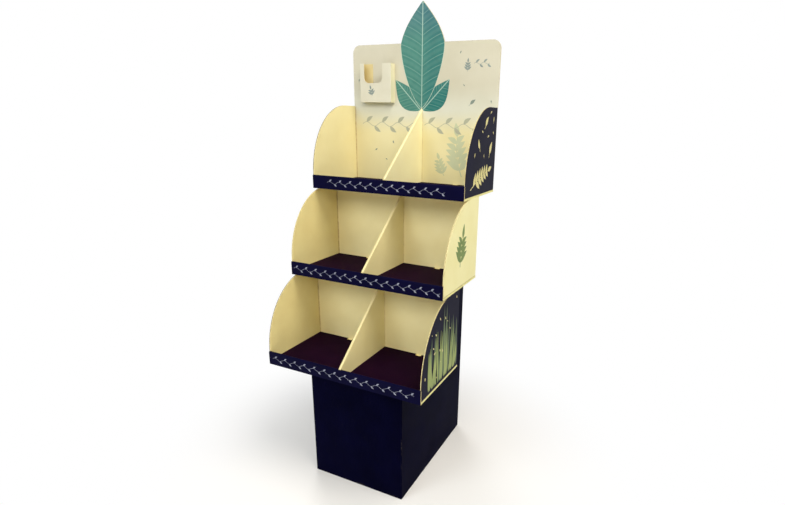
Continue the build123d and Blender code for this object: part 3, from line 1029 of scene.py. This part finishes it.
# %% Print the top and middle sides
falling = (
    # place from the middle of the stand, height above the tray's foot, turn in degrees, length
    (0.160, 0.232, 50, 0.040),
    (0.112, 0.160, 115, 0.034),
    (0.214, 0.138, 65, 0.046),
    (0.186, 0.196, 20, 0.015),
    (0.240, 0.246, 80, 0.018),
    (0.138, 0.212, 150, 0.013),
    (0.066, 0.136, 60, 0.014),
    (0.206, 0.274, 30, 0.013),
    (0.246, 0.206, 130, 0.012),
    (0.158, 0.130, 100, 0.011),
)
foot = top_tray.foot
top_print = frond((0.040, foot + 0.030), (0.206, foot + 0.082), pairs=6, length=0.046, width=0.019, bow=0.006)
for across, rise, turn, length in falling:
    top_print += fallen_leaf((across, foot + rise), turn, length)
petal_cream = printed("petal_cream", "e4da98", "d2c784")
lay("tray_3_side_petals", keep(top_tray, top_print), side_panels, petal_cream)

sprig_foot = Vector((-0.024, middle_tray.foot + 0.078))
sprig_top = Vector((-0.008, middle_tray.foot + 0.172))
middle_print = frond(sprig_foot, sprig_top, pairs=4, length=0.062, width=0.021, bow=0.004)
sprig_green = printed("sprig_green", "7f934a", "5b7639")
lay("tray_2_side_sprig", keep(middle_tray, middle_print), side_panels, sprig_green)

# %% [markdown]
# The reeds stand in two rows, so a darker row shows between the blades of the lighter one. Every blade
# differs a little in height, lean and width, and a few pale seeds drift over them. The draws are seeded,
# so the same reeds grow on each run.

# %% Print the reeds
REED_SPAN = 0.240
REED_ROOM, REED_LEAN, REED_WIDTH = (0.1, 0.9), (-0.014, 0.032), (0.010, 0.018)
REED_BOW, REED_BELLY = -0.3, 0.55
EDGE_HEIGHT, CROWN_START, CROWN_SPAN = 0.6, 0.15, 1.2
reed_start = low_tray.front + 0.0435
reed_foot = low_tray.foot + 0.018
chance = random.Random(5)


def reed_row(count, shortest, tallest):
    """Blades side by side along the foot of the lowest side panel, tallest in the middle."""
    blades = []
    for place in range(count):
        across = reed_start + REED_SPAN * (place + chance.uniform(*REED_ROOM)) / count
        swell = math.sin(math.pi * (place / count + CROWN_START) / CROWN_SPAN)
        rise = chance.uniform(shortest, tallest) * (EDGE_HEIGHT + (1 - EDGE_HEIGHT) * swell)
        lean = chance.uniform(*REED_LEAN)
        root = Vector((across, reed_foot))
        tip = root + Vector((lean, rise))
        width = chance.uniform(*REED_WIDTH)
        blades.append(leaf(root, tip, width, lean * REED_BOW, steps=16, belly=REED_BELLY))
    return keep(low_tray, blades)


reed_shade = printed("reed_shade", "5f7146", "4b5c38")
reed_green = printed("reed_green", "a3ae63", "7d8e4e")
back_reeds = reed_row(count=18, shortest=0.17, tallest=0.26)
front_reeds = reed_row(count=20, shortest=0.08, tallest=0.19)
lay("tray_1_side_back_reeds", back_reeds, side_panels, reed_shade)
lay("tray_1_side_reeds", front_reeds, side_panels, reed_green, 3 * PROUD)

# %% Print the seeds over the reeds
SEEDS = 15
SEED_INSET, SEED_MARGIN = 0.02, 0.008
SEED_RISE, SEED_TURN, SEED_LENGTH = (0.03, 0.28), (0, 180), (0.006, 0.014)
SEED_WIDTH = 0.4
seeds = []
while len(seeds) < SEEDS:
    across = chance.uniform(low_tray.front + SEED_INSET, low_tray.back - SEED_INSET)
    rise = chance.uniform(*SEED_RISE)
    turn = chance.uniform(*SEED_TURN)
    length = chance.uniform(*SEED_LENGTH)
    spot = Vector((across, low_tray.foot + rise))
    seed = leaf(spot, spot + turned(turn) * length, length * SEED_WIDTH, steps=8)
    seeds += keep(low_tray, [seed], SEED_MARGIN)
lay("tray_1_side_seeds", seeds, side_panels, petal_cream, 5 * PROUD)

# %% [markdown]
# ## Floor and light
# The stand is shown on plain white ground. Even a white floor turns grey towards the horizon, so further
# out it blends to a white that the camera sees as it is, and only keeps the shadow near the stand. The
# world does the same: it is white to look at, but gives the stand only a little light.

# %% Make the floor
FLOOR_REACH = 30.0
FLOOR_PAINT = "f6f5f3"
SHADOW_NEAR, SHADOW_FAR = 0.3, 1.0
WHITE = (1, 1, 1, 1)


def ground():
    """A pale floor that turns to plain white away from the stand."""
    finish = Finish("ground")
    finish.set("Base Color", paint(FLOOR_PAINT))
    finish.set("Roughness", 0.9)
    finish.set("Specular IOR Level", 0.1)
    far = finish.add("ShaderNodeVectorMath", {"operation": "LENGTH"}, {0: finish.place}, out="Value")
    share = finish.seen() * far.ramp(SHADOW_NEAR, SHADOW_FAR)
    lit = Wire(finish, finish.shader.outputs[0])
    white = finish.add("ShaderNodeEmission", sockets={"Color": WHITE, "Strength": 1.0})
    blend = finish.add("ShaderNodeMixShader", sockets={0: share, 1: lit, 2: white})
    finish.join(blend, finish.tree.nodes["Material Output"].inputs["Surface"])
    return finish.material


floor_mesh = bpy.data.meshes.new("floor")
corners = [(x * FLOOR_REACH, y * FLOOR_REACH, 0) for x, y in ((-1, -1), (1, -1), (1, 1), (-1, 1))]
floor_mesh.from_pydata(corners, [], [(0, 1, 2, 3)])
floor_mesh.materials.append(ground())
floor = bpy.data.objects.new("floor", floor_mesh)
bpy.context.scene.collection.objects.link(floor)
print("floor", 2 * FLOOR_REACH, "m square")

# %% Make the world
SKY_COLOUR, SKY_STRENGTH = (0.96, 0.98, 1.0, 1), 0.2
world = bpy.data.worlds.new("studio")
bpy.context.scene.world = world
world.use_nodes = True
sky = Nodes(world.node_tree)
soft = sky.add("ShaderNodeBackground", sockets={"Color": SKY_COLOUR, "Strength": SKY_STRENGTH})
white = sky.add("ShaderNodeBackground", sockets={"Color": WHITE, "Strength": 1.0})
blend = sky.add("ShaderNodeMixShader", sockets={0: sky.seen(), 1: soft, 2: white})
sky.join(blend, sky.tree.nodes["World Output"].inputs["Surface"])
print("sky", SKY_STRENGTH)

# %% [markdown]
# The lamps are wide and soft. A warm one hangs in front and above, as in a shop, and reaches into the
# trays. A cooler one on the left, like a window, greys the right part of the back walls. One overhead and to
# the right brightens the top tray and the right sides, and leaves the tops of the lower trays in the shade
# of the tray above. One behind keeps the back readable when the camera goes round.

# %% Place the lamps
AIM = Vector((0, 0, 0.95))
WARM, COOL, PLAIN = (1.0, 0.95, 0.87), (0.85, 0.925, 1.0), (0.99, 0.99, 1.0)


def soft_lamp(name, spot, width, watts, colour):
    """A round lamp that looks at the middle of the stand."""
    lamp = bpy.data.lights.new(name, "AREA")
    lamp.shape = "DISK"
    lamp.size = width
    lamp.energy = watts
    lamp.color = colour
    holder = bpy.data.objects.new(name, lamp)
    holder.location = spot
    holder.rotation_euler = (AIM - Vector(spot)).to_track_quat("-Z", "Y").to_euler()
    bpy.context.scene.collection.objects.link(holder)
    print(name, watts, "W")


soft_lamp("front", (1.2, -3.4, 3.4), width=2.2, watts=80, colour=WARM)
soft_lamp("left", (-1.6, -3.4, 3.0), width=2.2, watts=58, colour=COOL)
soft_lamp("overhead", (2.0, -0.7, 4.1), width=2.4, watts=114, colour=WARM)
soft_lamp("rear", (-2.4, 2.8, 2.6), width=2.4, watts=60, colour=PLAIN)
bpy.context.scene.view_settings.view_transform = "Standard"

# %% [markdown]
